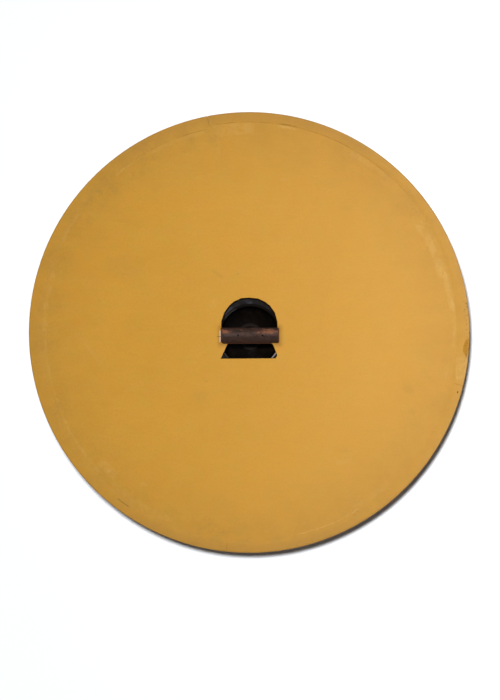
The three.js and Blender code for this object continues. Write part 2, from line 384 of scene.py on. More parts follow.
def wrap_section(share):
    """A point (y, z) at a share of the way round the grip, from the middle of its front."""
    half = WRAP_HALF
    front = FRONT_Z - 0.3 * MM - LEATHER_T
    corner = WRAP_FRONT_CORNER
    crown = wrap_high.z - BACK_Z - WRINKLE
    flat = half - corner
    side = BACK_Z - front - corner
    turn = corner * pi / 2
    over = pi * sqrt((half * half + crown * crown) / 2)
    total = 2 * (flat + turn + side) + over
    run = share * total
    mirrored = run > total / 2
    if mirrored:
        run = total - run
    if run < flat:
        y, z = run, front
    elif run < flat + turn:
        angle = (run - flat) / corner
        y, z = flat + corner * sin(angle), front + corner - corner * cos(angle)
    elif run < flat + turn + side:
        y, z = half, front + corner + run - flat - turn
    else:
        angle = (run - flat - turn - side) / (over / 2) * pi / 2
        y, z = half * cos(angle), BACK_Z + crown * sin(angle)
    return (-y if mirrored else y), z


def wrap_trim(x, y, z):
    """How y changes where the cap is cut: its edge is shorter at the lower right, its corners rounded."""
    end = WRAP_HALF_LENGTH
    if y < 0 and z > FRONT_Z + BOARD_T / 2:
        trim = CAP_TRIM_RIGHT * smooth(x, CAP_START, CAP_START + 3 * MM)
        trim += ROUNDED_LOW_LEFT * smooth(-x, end - 7 * MM, end) ** 2
        trim += ROUNDED_LOW_RIGHT * smooth(x, end - 4 * MM, end)
        return y + trim * -y / WRAP_HALF
    if y > 0:
        return y - ROUNDED_UPPER * smooth(abs(x), end - 4 * MM, end) * y / WRAP_HALF
    return y


def wrap_point(x, share):
    """A point of the leather's outside, its ends turned down and its surface creased."""
    y, z = wrap_section(share)
    rise = max(z - WRAP_LINE, 0)
    y = wrap_trim(x, y, z)
    end = smooth(abs(x), WRAP_HALF_LENGTH - END_TURN, WRAP_HALF_LENGTH)
    rise *= sqrt(max(1 - end * end, 0.0)) if abs(x) < WRAP_HALF_LENGTH - 1e-6 else 0.0
    spot = Vector((x * 60, y * 60, z * 60))
    lift = WRINKLE * (noise.noise(spot) * 0.6 + noise.noise(spot * 0.5) * 0.4)
    if z > WRAP_LINE:
        z = WRAP_LINE + rise * (1 + lift / (6 * MM))
    return x, y * (1 + lift / WRAP_HALF), z


def wrap_skin():
    """The leather's outside as an open sheet; only its caps reach past the hand hole."""
    bm = bmesh.new()
    bmesh.ops.create_grid(bm, x_segments=WRAP_COLUMNS, y_segments=WRAP_ROWS, size=0.5)
    buried = []
    for vert in bm.verts:
        x, share = vert.co.x * 2 * WRAP_HALF_LENGTH, vert.co.y + 0.5
        if abs(x) > CAP_START and wrap_section(share)[1] <= WRAP_LINE:
            buried.append(vert)
        vert.co = wrap_point(x, share)
    bmesh.ops.delete(bm, geom=buried, context="VERTS")
    bmesh.ops.translate(bm, vec=(GRIP_X, GRIP_Y, 0), verts=bm.verts)
    bmesh.ops.remove_doubles(bm, verts=bm.verts, dist=1e-5)
    bmesh.ops.recalc_face_normals(bm, faces=bm.faces)
    crown_face = max(bm.faces, key=lambda face: face.calc_center_median().z)
    if crown_face.normal.z < 0:
        bmesh.ops.reverse_faces(bm, faces=bm.faces)
    mesh = bpy.data.meshes.new("grip_leather")
    bm.to_mesh(mesh)
    bm.free()
    return mesh


def make_wrap():
    """Leather drawn round the bar, with a cap at each end lying on the board."""
    mesh = wrap_skin()
    skin = bpy.data.objects.new("grip_leather_skin", mesh)
    bpy.context.scene.collection.objects.link(skin)
    wall = skin.modifiers.new("wall", "SOLIDIFY")
    wall.thickness = LEATHER_T * 0.85
    wall.offset = -1
    wall.use_even_offset = False
    walled = evaluated_mesh(skin)
    discard(skin)
    walled.name = "grip_leather"
    return piece_of(walled, "grip_leather", ["grip_wrap"], sharp=60)


# ------------------------------------------------------------------ boss

OPENING_R = 57 * MM
BOSS_T = 2 * MM
ROOT_FILLET = 6 * MM
NECK_DEPTH = 12 * MM
NECK_TAPER = 1 * MM
DISC_R = 22 * MM
STEP_RUN = 2.8 * MM
STEP_HEIGHT = 3 * MM
DENT = 0.22 * MM


def boss_line(grow):
    """The boss's profile from the flange in to the axis, grown outwards by a sheet's thickness."""
    root_r = OPENING_R + ROOT_FILLET
    dome_r = OPENING_R - NECK_TAPER + grow
    dome_z = FRONT_Z - ROOT_FILLET - NECK_DEPTH
    step_r = DISC_R + STEP_RUN + grow
    step_z = BOSS_T + STEP_HEIGHT - grow
    dome_depth = (dome_z - step_z) / sqrt(1 - (step_r / dome_r) ** 2)
    root = 0.4 * grow
    line = [(FLANGE_R, FRONT_Z - grow), (FLANGE_R * 0.9, FRONT_Z - grow)]
    line += [(root_r - 0.6 * MM + root, FRONT_Z - grow)]
    line += [(root_r - 1.2 * MM + root, FRONT_Z - 0.4 * MM - grow)]
    line += [(OPENING_R + 0.5 * MM + root, FRONT_Z - ROOT_FILLET + 1.0 * MM - root)]
    line += [(OPENING_R + grow, FRONT_Z - ROOT_FILLET)]
    line += arc_points(0, dome_z, dome_r, dome_depth, 0, -180 / pi * acos(step_r / dome_r), 26)
    line += [(DISC_R + grow + STEP_RUN * 0.55, BOSS_T + STEP_HEIGHT * 0.42 - grow)]
    line += [(DISC_R + grow + STEP_RUN * 0.12, BOSS_T + STEP_HEIGHT * 0.06 - grow)]
    line += [(DISC_R - 1 * MM, BOSS_T - grow), (DISC_R / 2, BOSS_T - grow), (0, BOSS_T - grow)]
    return line


def make_boss():
    """A raised iron shell: one closed wall, turned about its axis and slightly uneven."""
    profile = boss_line(BOSS_T)[::-1] + boss_line(0)
    bm = turned(profile, 112)
    for vert in bm.verts:
        between = smooth(vert.co.z, 8 * MM, 16 * MM) * (1 - smooth(vert.co.z, 48 * MM, 60 * MM))
        dent = DENT * noise.noise(vert.co * 55) * between
        radius = max(hypot(vert.co.x, vert.co.y), 1e-6)
        vert.co.x *= 1 + dent / radius
        vert.co.y *= 1 + dent / radius
    bmesh.ops.translate(bm, vec=(BOSS_X, BOSS_Y, 0), verts=bm.verts)
    return piece_from(bm, "iron_boss", ["boss"], sharp=50)


# ------------------------------------------------------------------ nails and tacks

def make_nail(node, name, head_r, head_h, shank_r, facing, facets):
    """A domed nail in the place of its solid; facing is 1 for a head on top and -1 for below."""
    low, high = box_of(node)
    middle = (low + high) / 2
    length = high.z - low.z
    tip = length - head_h
    profile = [(0, -tip), (shank_r * 0.4, -tip), (shank_r, -tip * 0.8), (shank_r, 0), (head_r * 0.96, 0)]
    profile += [(head_r, head_h * 0.16)]
    profile += arc_points(0, head_h * 0.16, head_r, head_h * 0.84, 12, 90, 7)
    profile[-1] = (0, head_h)
    seat = high.z - head_h if facing > 0 else low.z + head_h
    bm = turned([(r, z * facing) for r, z in profile], facets, (middle.x, middle.y, seat))
    for vert in bm.verts:
        if (vert.co.z - seat) * facing > head_h * 0.3:
            beat = noise.noise(vert.co * 420)
            vert.co.z -= facing * abs(beat) * head_h * 0.12
    return piece_from(bm, name, [node], sharp=50)


# ------------------------------------------------------------------ finishes

class Value:
    """A number on a surface; arithmetic on it adds the nodes to its finish."""

    def __init__(self, finish, socket):
        self.finish = finish
        self.socket = socket

    def __add__(self, other):
        return self.finish.math("ADD", self, other)

    def __radd__(self, other):
        return self.finish.math("ADD", other, self)

    def __sub__(self, other):
        return self.finish.math("SUBTRACT", self, other)

    def __rsub__(self, other):
        return self.finish.math("SUBTRACT", other, self)

    def __mul__(self, other):
        return self.finish.math("MULTIPLY", self, other)

    def __rmul__(self, other):
        return self.finish.math("MULTIPLY", other, self)

    def __truediv__(self, other):
        return self.finish.math("DIVIDE", self, other)

    def __pow__(self, other):
        return self.finish.math("POWER", self, other)


class Finish:
    """A material and the few kinds of node that the finishes are made of."""

    def __init__(self, name, **steady):
        self.material = bpy.data.materials.new(name)
        self.material.use_nodes = True
        self.tree = self.material.node_tree
        self.shader = self.tree.nodes["Principled BSDF"]
        self.wear(**steady)
        self.place = self.node("TexCoord", output="Object")
        self.x, self.y, self.z = self.parts(self.place)
        self.radius = (self.x * self.x + self.y * self.y) ** 0.5

    def node(self, kind, settings=None, inputs=None, output=0):
        """Any node: its settings first, then the values or links of its sockets."""
        node = self.tree.nodes.new("ShaderNode" + kind)
        for name, value in (settings or {}).items():
            setattr(node, name, value)
        for name, value in (inputs or {}).items():
            self.feed(node.inputs[name], value)
        return Value(self, node.outputs[output])

    def feed(self, socket, value):
        if isinstance(value, Value):
            self.tree.links.new(value.socket, socket)
        else:
            socket.default_value = value

    def wear(self, **sockets):
        """Set or link the shader's sockets, named as in base_color."""
        for socket in self.shader.inputs:
            name = socket.name.lower().replace(" ", "_")
            if name in sockets:
                self.feed(socket, sockets[name])

    def math(self, operation, *operands):
        return self.node("Math", {"operation": operation}, dict(enumerate(operands)))

    def parts(self, vector):
        split = self.node("SeparateXYZ", None, {"Vector": vector})
        outputs = split.socket.node.outputs
        return [Value(self, outputs[axis]) for axis in "XYZ"]

    def stretched(self, scale):
        """Object coordinates scaled along each axis."""
        settings = {"operation": "MULTIPLY"}
        return self.node("VectorMath", settings, {0: self.place, 1: scale})

    def turned(self, degrees, scale):
        """Object coordinates turned about Z, then scaled along each axis."""
        inputs = {"Vector": self.place, "Rotation": (0, 0, radians(degrees)), "Scale": scale}
        return self.node("Mapping", {"vector_type": "POINT"}, inputs)

    def cells(self, feature, scale):
        """Distances in a pattern of cells; scale is in cells a metre."""
        return self.node("TexVoronoi", {"feature": feature}, {"Vector": self.place, "Scale": scale})

    def noise(self, scale, detail=3.0, rough=0.55, place=None, warp=0.0):
        """Cloudy noise about 0.5; scale is in features a metre."""
        inputs = {"Vector": place or self.place, "Scale": scale, "Detail": detail}
        inputs |= {"Roughness": rough, "Distortion": warp}
        return self.node("TexNoise", None, inputs)

    def ramp(self, value, low, high):
        """0 where the value is under low, 1 where it is over high."""
        settings = {"interpolation_type": "SMOOTHSTEP"}
        inputs = {"Value": value, "From Min": low, "From Max": high}
        return self.node("MapRange", settings, inputs)

    def band(self, value, low, high, soft):
        """1 between low and high, fading to 0 over soft outside them."""
        return self.ramp(value, low - soft, low) * (1 - self.ramp(value, high, high + soft))

    def sector(self, start, end, soft=4.0):
        """1 between two bearings, fading out over soft degrees."""
        middle = radians((start + end) / 2)
        half = (end - start) / 2
        facing = (self.x * cos(middle) + self.y * sin(middle)) / self.radius
        return self.ramp(facing, cos(radians(min(half + soft, 180))), cos(radians(half)))

    def blot(self, x, y, along, across, turn=0, ragged=0.5, grain=None, soft=0.35):
        """A ragged blot: its middle, its half sizes, and how far its length is turned from X."""
        ahead_x, ahead_y = cos(radians(turn)), sin(radians(turn))
        ahead = (self.x * ahead_x + self.y * ahead_y - (x * ahead_x + y * ahead_y)) / along
        aside = (self.y * ahead_x - self.x * ahead_y - (y * ahead_x - x * ahead_y)) / across
        reach = (ahead * ahead + aside * aside) ** 0.5 + ((grain or self.noise(90, 4)) - 0.5) * ragged
        return 1 - self.ramp(reach, 1.05 - soft, 1.05)

    def patch(self, bearing, radius, along, across, ragged=0.5, scale=90):
        """A blot on the rim: its middle, its half sizes along and across the rim."""
        x, y = radius * cos(radians(bearing)), radius * sin(radians(bearing))
        return self.blot(x, y, along, across, bearing + 90, ragged, self.noise(scale, 4), 0.3)

    def mix(self, under, over, share):
        """One colour over another. The Mix node's colour sockets are numbers 6, 7 and 2."""
        settings = {"data_type": "RGBA", "clamp_factor": True}
        return self.node("Mix", settings, {0: share, 6: under, 7: over}, output=2)

    def bump(self, height, distance, strength=1.0):
        """Fine relief: the distance is how far it stands up where the height is 1."""
        return self.node("Bump", None, {"Height": height, "Distance": distance, "Strength": strength})


def colour(red, green, blue):
    """A linear colour from display values of 0 to 255."""
    def linear(value):
        share = value / 255
        return share / 12.92 if share <= 0.04045 else ((share + 0.055) / 1.055) ** 2.4
    return (linear(red), linear(green), linear(blue), 1.0)


OCHRE = colour(181, 132, 44)
OCHRE_DEEP = colour(173, 122, 34)
OCHRE_PALE = colour(189, 142, 57)
WARM = colour(187, 131, 40)
ROSY = colour(184, 129, 54)
LEAFY = colour(172, 136, 48)
HEM_SHADE = colour(88, 58, 10)
OLIVE = colour(163, 123, 44)
CHALK = colour(190, 151, 82)
RIM_DARK = colour(132, 98, 42)
SLATE_SMUDGE = colour(128, 102, 48)
HANDLED = colour(126, 92, 56)
RIGHT_SIDE_LIGHT = colour(186, 138, 66)
RUST_BARE = colour(152, 106, 14)
BARE_BOARD = colour(172, 154, 134)
GRIP_SHADE = colour(92, 52, 6)
WALL_WOOD_AND_SHADE = colour(40, 23, 14)
CRACK_DARK_AND_SHADE = colour(30, 18, 11)

STRIP_EDGE = SHIELD_R - 25 * MM

# Along the hem of the hide: smudges by bearing (from, to, strength), and paler smears and thin dark lines
# of painted shade by bearing and distance from the middle (from, to, inner, outer, strength).
SMUDGES = [(26, 58, 0.4), (102, 136, 0.55), (140, 200, 0.4), (205, 262, 0.35), (262, 300, 0.3)]
SMEARS = [
    (17, 32, 379, 389, 0.75), (7, 18, 384, 391, 0.7), (-3, 9, 389, 393, 0.55),
    (-12, -10, 379, 385, 0.6), (50, 60, 390, 396, 0.45), (78.6, 80.4, 396, 398.5, 1.1),
    (90, 99, 381, 396, 0.6), (104, 118, 388, 393, 0.4), (123, 129, 391.5, 393.5, 0.7),
    (146, 153, 394, 398, 0.5), (164, 180, 387, 393, 0.5), (182, 192, 387, 391, 0.35),
    (192, 206, 387, 390, 0.3), (206, 222, 388, 392, 0.5), (222, 226, 369, 381, 0.5),
    (229, 246, 384, 392, 0.35), (285, 302, 395.5, 397, 1.0), (302, 312, 386, 393, 0.3),
]
HEM_LINES = [
    (42, 63, 400.0, 400.7, 0.22), (63, 98, 400.6, 401.4, 0.32), (78.2, 80.2, 401.4, 403.4, 0.3),
    (103.5, 108, 394.6, 395.4, 0.25), (108, 122, 394.8, 395.6, 0.18),
]


def rim_dirt_and_shade(paint, tone, on_back):
    """Grey smudges, chalky smears, and thin dark lines of painted shade that follow the hem of the hide.
    """
    cloud = paint.ramp(paint.noise(28, 5, 0.7, warp=0.5), 0.38, 0.66)
    streaks = paint.ramp(paint.noise(110, 4, 0.7, warp=1.2), 0.36, 0.62)
    hem = STRIP_EDGE - 8 * MM
    soiled = cloud * streaks * paint.band(paint.radius, hem - 12 * MM, hem + 14 * MM, 20 * MM) * on_back
    for start, end, share in SMUDGES:
        tone = paint.mix(tone, SLATE_SMUDGE, soiled * paint.sector(start, end, 10) * (0.5 * share))
    wander = paint.radius + (paint.noise(60, 4, 0.7) - 0.5) * (12 * MM)
    patchy = paint.ramp(paint.noise(50, 5, 0.75, warp=0.8), 0.36, 0.58) * on_back
    for start, end, inner, outer, share in SMEARS:
        across = paint.band(wander, inner * MM, outer * MM, (outer - inner) * 0.45 * MM)
        tone = paint.mix(tone, CHALK, paint.sector(start, end, 2) * across * patchy * (0.42 * share))
    broken = paint.ramp(paint.noise(50, 3), 0.3, 0.6) * on_back
    # Thin dark lines along the hem: painted shade at the step of the hide.
    for start, end, inner, outer, share in HEM_LINES:
        across = paint.band(paint.radius, inner * MM, outer * MM, 0.6 * MM)
        tone = paint.mix(tone, HEM_SHADE, paint.sector(start, end, 2) * across * broken * share)
    return tone


def painted(name):
    """Ochre paint: brushed on and mottled, and paler towards the right, which is painted light."""
    paint = Finish(name, specular_ior_level=0.5)
    on_back = paint.ramp(paint.z, FRONT_Z + BOARD_T * 0.5, FRONT_Z + BOARD_T * 0.9)
    broad = paint.noise(7, 3, 0.5, warp=0.6)
    cloud = paint.noise(24, 4, 0.6)
    brushed = paint.noise(1, 4, 0.6, paint.stretched((30, 190, 30)))
    speck = paint.noise(300, 3, 0.6)
    slant = paint.noise(1, 5, 0.65, paint.turned(35, (14, 95, 30)), warp=1.5)
    sweep = paint.noise(1, 5, 0.65, paint.turned(-25, (12, 110, 30)), warp=1.8)

    tone = paint.mix(OCHRE, OCHRE_PALE, paint.ramp(broad, 0.42, 0.72) * 0.14)
    tone = paint.mix(tone, OCHRE_DEEP, paint.ramp(cloud, 0.40, 0.70) * 0.30)
    tone = paint.mix(tone, OLIVE, paint.ramp(paint.noise(13, 4, 0.62), 0.50, 0.72) * 0.14)
    tone = paint.mix(tone, OCHRE_PALE, paint.ramp(brushed, 0.5, 0.75) * 0.05)
    tone = paint.mix(tone, WARM, paint.ramp(paint.noise(11, 4, 0.6, warp=0.4), 0.46, 0.64) * 0.4)
    tone = paint.mix(tone, OLIVE, paint.ramp(slant, 0.50, 0.68) * 0.20)
    tone = paint.mix(tone, OCHRE_PALE, paint.ramp(sweep, 0.52, 0.70) * 0.25)
    tone = paint.mix(tone, ROSY, paint.ramp(paint.noise(55, 4, 0.6), 0.50, 0.66) * 0.32)
    leafy = paint.noise(48, 4, 0.6, paint.turned(60, (1, 1, 1)))
    tone = paint.mix(tone, LEAFY, paint.ramp(leafy, 0.50, 0.66) * 0.32)
    tone = paint.mix(tone, OCHRE_DEEP, paint.ramp(speck, 0.42, 0.66) * 0.45)
    # Paler towards the right: painted light, as from the lamps on the right.
    tone = paint.mix(tone, RIGHT_SIDE_LIGHT, paint.ramp(paint.x, -0.3, 0.45) * 0.4)
    return paint, tone, on_back, brushed, speck


def darker_rim(paint, tone):
    """The rim: darker all round towards the edge, darker where it is handled, and darkest on its very
    edge.
    """
    # Darker towards the rim, unevenly, and darkest on the very edge.
    share = paint.ramp(paint.radius, SHIELD_R * 0.6, SHIELD_R * 1.15) * 0.34
    uneven = 0.75 + 0.5 * paint.ramp(paint.noise(26, 4, 0.65), 0.35, 0.7)
    tone = paint.mix(tone, RIM_DARK, share * uneven)
    outer = paint.ramp(paint.radius, SHIELD_R - 22 * MM, SHIELD_R - 8 * MM)
    handled = paint.sector(64, 118, 20) * 0.16 + paint.sector(245, 290, 14) * 0.17
    tone = paint.mix(tone, HANDLED, outer * handled)
    edge = paint.ramp(paint.radius, SHIELD_R - 2.2 * MM, SHIELD_R - 0.2 * MM)
    return paint.mix(tone, RIM_DARK, edge * paint.ramp(paint.noise(75, 3), 0.35, 0.65) * 0.6)


# Marks on the open board, in mm: middle, half sizes, how far turned, strength.
PALE_RUBS = [
    (-304, -32, 44, 8, -53, 0.14), (-69, 51, 14, 18, 0, 0.14), (179, -247, 17, 8, 5, 0.16),
    (-59, 345, 34, 6, 90, 0.1), (-95, 295, 15, 5, -10, 0.12), (66, 292, 8, 5, 0, 0.14),
    (-268, -264, 9, 6, 45, 0.25), (-202, -289, 9, 6, 0, 0.2),
]
DARK_MARKS = [
    (-238, 126, 52, 40, 0, 0.1), (-64, 114, 18, 4, -35, 0.16), (-22, 112, 6, 3, 0, 0.18),
    (303, -110, 18, 16, 0, 0.13), (311, -150, 9, 9, 0, 0.12), (-82, -93, 4, 3, 0, 0.2),
    (-96, -121, 22, 16, 0, 0.1), (184, -226, 12, 5, 0, 0.14),
]


def scuffs(paint, tone, on_back):
    """Single rubs and stains on the board, and the round sweep of the brush left of the grip."""
    grain = paint.noise(38, 5, 0.75, warp=0.8)
    for marks, over in ((PALE_RUBS, CHALK), (DARK_MARKS, SLATE_SMUDGE)):
        for x, y, along, across, turn, share in marks:
            blot = paint.blot(x * MM, y * MM, along * MM, across * MM, turn, 2.6, grain, 0.9)
            tone = paint.mix(tone, over, blot * on_back * share)
    east, north = paint.x + 134 * MM, paint.y - 93 * MM
    off = (east * east + north * north) ** 0.5
    swept = paint.ramp(paint.math("SINE", off * 650 + grain * 12), 0, 1)
    swept = swept * (1 - paint.ramp(off, 0.03, 0.06))
    return paint.mix(tone, OLIVE, swept * paint.ramp(east + north, -0.03, 0.03) * on_back * 0.2)


def beside_grip(paint, tone, on_back):
    """Painted shade round the leather where it stands off the board, and a bare, cracked sliver of board
    beside its left end.
    """
    # Painted shade: the board darkened softly round the outline of the leather.
    beyond_x = paint.math("MAXIMUM", paint.math("ABSOLUTE", paint.x - GRIP_X) - WRAP_HALF_LENGTH, 0)
    beyond_y = paint.math("MAXIMUM", paint.math("ABSOLUTE", paint.y - GRIP_Y) - WRAP_HALF, 0)
    off = (beyond_x * beyond_x + beyond_y * beyond_y) ** 0.5
    shade_halo = (1 - paint.ramp(off, -3 * MM, 11 * MM)) * on_back
    tone = paint.mix(tone, GRIP_SHADE, shade_halo * (0.3 + 0.4 * paint.noise(90, 3)))
    left = GRIP_X - WRAP_HALF_LENGTH
    beside = paint.band(paint.x, left - 2.3 * MM, left + 1 * MM, 0.7 * MM)
    sliver = beside * paint.band(paint.y, -17.5 * MM, 3 * MM, 1.5 * MM) * on_back
    tone = paint.mix(tone, BARE_BOARD, sliver * 0.95)
    crack = paint.band(paint.y, -8.2 * MM, -7.2 * MM, 0.5 * MM)
    crack = crack * paint.band(paint.x, left - 5.5 * MM, left + 1 * MM, 2.5 * MM) * on_back
    return paint.mix(tone, CRACK_DARK_AND_SHADE, crack * 0.6)


def board_paint():
    """The board's paint, with painted shade in the gaps between the strips, and bare walls in its hole
    coloured near-black: dark wood deepened with painted shade.
    """
    paint, tone, on_back, brushed, speck = painted("ochre_on_board")
    tone = darker_rim(paint, tone)
    tone = rim_dirt_and_shade(paint, tone, on_back)
    tone = scuffs(paint, tone, on_back)
    tone = beside_grip(paint, tone, on_back)
    # Painted shade in the gaps between the strips: the board under them is darkened.
    gap_shade = paint.ramp(paint.radius, SHIELD_R - 18 * MM, SHIELD_R - 16 * MM) * on_back
    tone = paint.mix(tone, CRACK_DARK_AND_SHADE, gap_shade * 0.45)

    # The walls of the hand hole: dark wood, made near-black as painted shade.
    sawn = paint.band(paint.z, FRONT_Z + 0.4 * MM, BACK_Z - 0.35 * MM, 0.2 * MM)
    sawn = sawn * (1 - paint.ramp(paint.radius, 0.1, 0.12))
    plies = paint.noise(1, 4, 0.6, paint.stretched((40, 40, 900)))
    wood = paint.mix(WALL_WOOD_AND_SHADE, CRACK_DARK_AND_SHADE, paint.ramp(plies, 0.4, 0.7) * 0.6)
    tone = paint.mix(tone, wood, sawn)

    rough = 0.55 + 0.12 * paint.noise(20, 3)
    height = brushed * 0.2 + speck * 0.2 + paint.noise(14, 2) * 1.2
    paint.wear(base_color=tone, roughness=rough, normal=paint.bump(height, 0.35 * MM, 0.5))
    return paint.material


def hide_paint():
    """The edging's paint, lifted, rubbed and nicked here and there on the right."""
    paint, tone, on_back, brushed, speck = painted("ochre_on_hide")
    tone = darker_rim(paint, tone)
    tone = rim_dirt_and_shade(paint, tone, on_back)

    # The paint has lifted in one place on the right and rubbed thin below it.
    cloud = paint.noise(70, 4, 0.7)
    ragged = paint.y + (cloud - 0.5) * (50 * MM)
    rubbed = paint.ramp(paint.x, 392 * MM, 395 * MM) * paint.band(ragged, -82 * MM, -50 * MM, 8 * MM)
    rubbed = rubbed * (0.25 + 0.75 * paint.ramp(cloud, 0.38, 0.58)) * on_back
    tone = paint.mix(tone, CHALK, rubbed * 0.4)
    peeled = paint.patch(-3.9, SHIELD_R - 4 * MM, 19 * MM, 8.5 * MM, 1.0, 70) * on_back
    tone = paint.mix(tone, RUST_BARE, peeled)
    specks = paint.ramp(paint.noise(260, 3, 0.6), 0.57, 0.64) * paint.sector(-7, 8, 3)
    specks = specks * paint.ramp(paint.radius, SHIELD_R - 11 * MM, SHIELD_R - 5 * MM) * on_back
    tone = paint.mix(tone, CRACK_DARK_AND_SHADE, specks * 0.75)
    nick = paint.patch(-16, SHIELD_R * 0.983, 2.2 * MM, 1.6 * MM, 0.3) * on_back
    tone = paint.mix(tone, CRACK_DARK_AND_SHADE, nick * 0.8)
    # A crease pressed into the hide, with a dark line of painted shade along it.
    crease = paint.sector(232, 235, 0.6) * on_back
    crease = crease * paint.band(paint.radius, SHIELD_R * 0.9605, SHIELD_R * 0.9625, 0.5 * MM)
    tone = paint.mix(tone, CRACK_DARK_AND_SHADE, crease * 0.45)

    pores = 1 - paint.ramp(paint.cells("DISTANCE_TO_EDGE", 520), 0.0, 0.22)
    rough = 0.54 + 0.14 * paint.noise(26, 3)
    height = brushed * 0.4 + speck * 0.3 + paint.noise(22, 3) * 1.6 - pores * 0.25 - crease * 1.5
    paint.wear(base_color=tone, roughness=rough, normal=paint.bump(height, 0.4 * MM, 0.55))
    return paint.material


LEATHER = colour(51, 34, 26)
LEATHER_DARK = colour(30, 17, 13)
LEATHER_WARM = colour(80, 50, 36)
LEATHER_SHADED = colour(44, 23, 12)
BARE_HIDE = colour(134, 84, 58)
CROWN_HIGHLIGHT = colour(86, 68, 62)
CUT_HIDE = colour(98, 46, 24)
SEAM_HIDE = colour(96, 58, 36)


def grip_leather():
    """Dark leather, darker towards its bottom edge as painted shade, with a painted highlight along its
    crown, and rubbed down to the bare hide near both ends.
    """
    hide = Finish("grip_leather", specular_ior_level=0.4)
    blotch = hide.noise(120, 4, 0.65, warp=0.6)
    streak = hide.noise(1, 4, 0.65, hide.turned(-32, (80, 210, 90)), warp=0.5)
    tone = hide.mix(LEATHER, LEATHER_DARK, hide.ramp(blotch, 0.44, 0.60) * 0.6)
    tone = hide.mix(tone, LEATHER_WARM, hide.ramp(streak, 0.48, 0.62) * 0.55)
    # Darker towards the bottom edge: painted shade on the underside of the rounded grip.
    lower = 1 - hide.ramp(hide.y, GRIP_Y - 15 * MM, GRIP_Y + 3 * MM)
    tone = hide.mix(tone, LEATHER_SHADED, lower * 0.75)

    # A pale band along the crown: a painted highlight.
    slope = hide.y - hide.x * 0.03
    crown = hide.band(slope, GRIP_Y + 1.5 * MM, GRIP_Y + 5 * MM, 3.5 * MM)
    tone = hide.mix(tone, CROWN_HIGHLIGHT, crown * hide.ramp(hide.noise(85, 5, 0.7), 0.36, 0.56) * 0.6)
    grain = hide.noise(130, 5, 0.75, warp=0.5)
    worn = hide.blot(GRIP_X - 46 * MM, GRIP_Y + 7.4 * MM, 12 * MM, 4.4 * MM, -4, 2.4, grain, 0.6)
    worn += hide.blot(GRIP_X + 34 * MM, GRIP_Y + 8 * MM, 27 * MM, 5.5 * MM, 0, 2.8, grain, 0.7) * 0.9
    worn += hide.blot(GRIP_X - 16 * MM, GRIP_Y + 11 * MM, 4 * MM, 2.5 * MM, 0, 2.0, grain, 0.6) * 0.6
    tone = hide.mix(tone, BARE_HIDE, worn * (0.35 + 0.65 * hide.ramp(streak, 0.42, 0.56)))
    past = hide.math("ABSOLUTE", hide.x - GRIP_X)
    cut_end = hide.ramp(past, WRAP_HALF_LENGTH - 3 * MM, WRAP_HALF_LENGTH - 0.8 * MM)
    tone = hide.mix(tone, CUT_HIDE, cut_end * 0.85)
    seam = 1 - hide.ramp(hide.y, GRIP_Y - 14.2 * MM, GRIP_Y - 13 * MM)
    tone = hide.mix(tone, SEAM_HIDE, seam * 0.6)

    pores = 1 - hide.ramp(hide.cells("DISTANCE_TO_EDGE", 760), 0.0, 0.25)
    tone = hide.mix(tone, LEATHER_DARK, pores * 0.35)
    rough = 0.46 + 0.25 * hide.noise(60, 3)
    creases = hide.noise(1, 4, 0.6, hide.turned(-32, (90, 420, 90)))
    height = blotch * 1.3 + creases * 0.9 - pores * 0.35
    hide.wear(base_color=tone, roughness=rough, normal=hide.bump(height, 0.7 * MM, 0.8))
    return hide.material


BLACK_IRON = colour(11, 8, 6)
BARE_IRON = colour(70, 70, 74)
RUST = colour(32, 20, 12)
FLANGE_LIGHT = colour(33, 31, 31)
ROOT_LIGHT = colour(26, 22, 20)
TOP_RING_LIGHT = colour(46, 40, 36)
GLINT = colour(168, 160, 158)
SHINE = colour(64, 66, 76)
OUTSIDE_DARK = colour(34, 32, 31)
OUTSIDE_PALE = colour(56, 54, 54)


